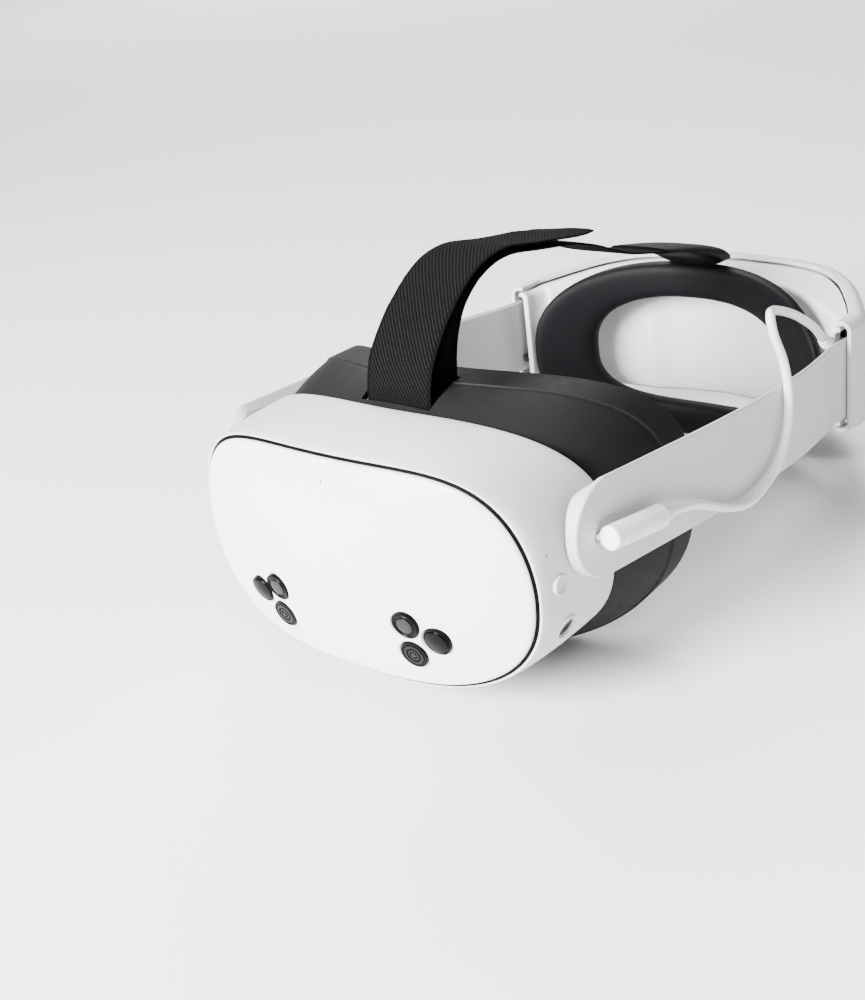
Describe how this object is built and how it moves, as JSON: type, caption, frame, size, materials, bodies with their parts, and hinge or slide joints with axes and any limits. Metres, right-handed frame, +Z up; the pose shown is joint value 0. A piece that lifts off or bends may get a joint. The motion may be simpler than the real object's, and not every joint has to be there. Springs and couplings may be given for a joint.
{
  "type": "vr headset",
  "caption": "Stand-alone VR headset: domed visor with camera windows, soft face cover, rigid hinged arms, rear battery housing with cradle ring, woven top strap and charging cable.",
  "frame": {"origin": "middle of the face opening, where the wearer's face meets the visor", "axes": "+Y points from the visor to the back of the head, +Z is up, +X is the wearer's left"},
  "size_m": [0.2157, 0.3679, 0.1658],
  "materials": {
    "cover_white": "satin white, slightly warm",
    "shell_white": "fine matt light grey-white",
    "arm_white": "fine matt light grey",
    "black_rubber": "matt black",
    "lens_black": "glossy black",
    "charcoal_silicone": "matt charcoal",
    "webbing": "woven twill webbing",
    "dark_plastic": "matt",
    "cable_white": "glossy white",
    "steel": "turned",
    "aluminium": "plain",
    "board_green": "solder mask",
    "cell_blue": "film wrap",
    "clear_lens": "clear, polished",
    "screen_black": "dark glossy panel"
  },
  "bodies": {
    "visor": {"front_cover": "cover_white", "vent_gasket": "black_rubber", "visor_shell": "shell_white", "color_camera_left": "lens_black", "color_camera_right": "lens_black", "tracking_camera_left": "lens_black", "tracking_camera_right": "lens_black", "depth_light_left": "lens_black", "depth_light_right": "lens_black", "side_camera_left": "lens_black", "side_camera_right": "lens_black", "sensor_bracket": "aluminium", "main_board": "board_green", "heat_sink": "aluminium", "fan_housing": "dark_plastic", "visor_battery": "cell_blue", "display_panel": "screen_black", "rod_bracket_left": "dark_plastic", "rod_bracket_right": "dark_plastic", "upper_guide_rod": "steel", "lower_guide_rod": "steel", "lens_bezel": "dark_plastic", "face_cover": "charcoal_silicone", "face_frame": "dark_plastic", "strap_bridge": "dark_plastic", "top_strap_front": "webbing", "pivot_pin_left": "steel", "pivot_pin_right": "steel"},
    "power_key": {"power_button": "shell_white"},
    "volume_key": {"volume_rocker": "shell_white"},
    "action_key": {"action_button": "shell_white"},
    "left_lens_unit": {"lens_mount_left": "dark_plastic", "lens_left": "clear_lens"},
    "right_lens_unit": {"lens_mount_right": "dark_plastic", "lens_right": "clear_lens"},
    "fan": {"fan_rotor": "dark_plastic"},
    "left_arm": {"strap_arm_left": "arm_white", "speaker_left": "dark_plastic", "charge_port": "steel", "charge_plug": "cable_white", "charge_cable": "cable_white"},
    "right_arm": {"strap_arm_right": "arm_white", "speaker_right": "dark_plastic"},
    "rear_unit": {"housing_cover": "shell_white", "housing_base": "arm_white", "battery_cell_left": "cell_blue", "battery_cell_right": "cell_blue", "charge_board": "board_green", "cradle_ring": "charcoal_silicone", "ring_post_left": "dark_plastic", "ring_post_right": "dark_plastic", "strap_tab": "charcoal_silicone", "cable_gland": "cable_white", "fit_rack_left": "dark_plastic", "fit_rack_right": "dark_plastic", "top_strap_rear": "webbing"},
    "dial_unit": {"fit_dial": "shell_white", "pinion": "dark_plastic"}
  },
  "joints": [
    {"name": "left_arm_hinge", "type": "hinge", "parent": "visor", "child": "left_arm", "pos_m": [0.095, -0.037, 0.0159], "axis": [1, 0, 0], "range_deg": [-15, 20], "deforming": ["top_strap_front"]},
    {"name": "right_arm_hinge", "type": "hinge", "parent": "visor", "child": "right_arm", "pos_m": [-0.095, -0.037, 0.0159], "axis": [1, 0, 0], "range_deg": [-15, 20]},
    {"name": "fit_slide", "type": "slide", "parent": "left_arm", "child": "rear_unit", "axis": [0, 0.9959, -0.0899], "range_m": [-0.015, 0], "deforming": ["fit_rack_left", "fit_rack_right", "charge_cable", "top_strap_rear"]},
    {"name": "fit_dial_turn", "type": "hinge", "parent": "rear_unit", "child": "dial_unit", "pos_m": [0, 0.253, -0.01029], "axis": [0, 1, 0], "range_deg": [-90.6, 0]},
    {"name": "power_press", "type": "slide", "parent": "visor", "child": "power_key", "axis": [-1, 0, 0], "range_m": [0, 0.0008], "stiffness_N_per_m": 400, "springref_m": -0.001},
    {"name": "volume_rock", "type": "hinge", "parent": "visor", "child": "volume_key", "pos_m": [0.034, -0.063, -0.0507], "axis": [0, 1, 0], "range_deg": [-3, 3], "stiffness_Nm_per_rad": 0.03},
    {"name": "action_press", "type": "slide", "parent": "visor", "child": "action_key", "axis": [0, 0, 1], "range_m": [0, 0.0008], "stiffness_N_per_m": 400, "springref_m": -0.001},
    {"name": "left_lens_slide", "type": "slide", "parent": "visor", "child": "left_lens_unit", "axis": [1, 0, 0], "range_m": [-0.003, 0.003]},
    {"name": "right_lens_slide", "type": "slide", "parent": "visor", "child": "right_lens_unit", "axis": [1, 0, 0], "range_m": [-0.003, 0.003]},
    {"name": "fan_spin", "type": "hinge", "parent": "visor", "child": "fan", "pos_m": [0, -0.0705, 0], "axis": [0, 1, 0], "continuous": true}
  ],
  "couplings": [
    {"joint": "right_arm_hinge", "follows": "left_arm_hinge", "ratio": 1},
    {"joint": "fit_dial_turn", "follows": "fit_slide", "rad_per_m": 105.26},
    {"joint": "right_lens_slide", "follows": "left_lens_slide", "ratio": -1}
  ]
}
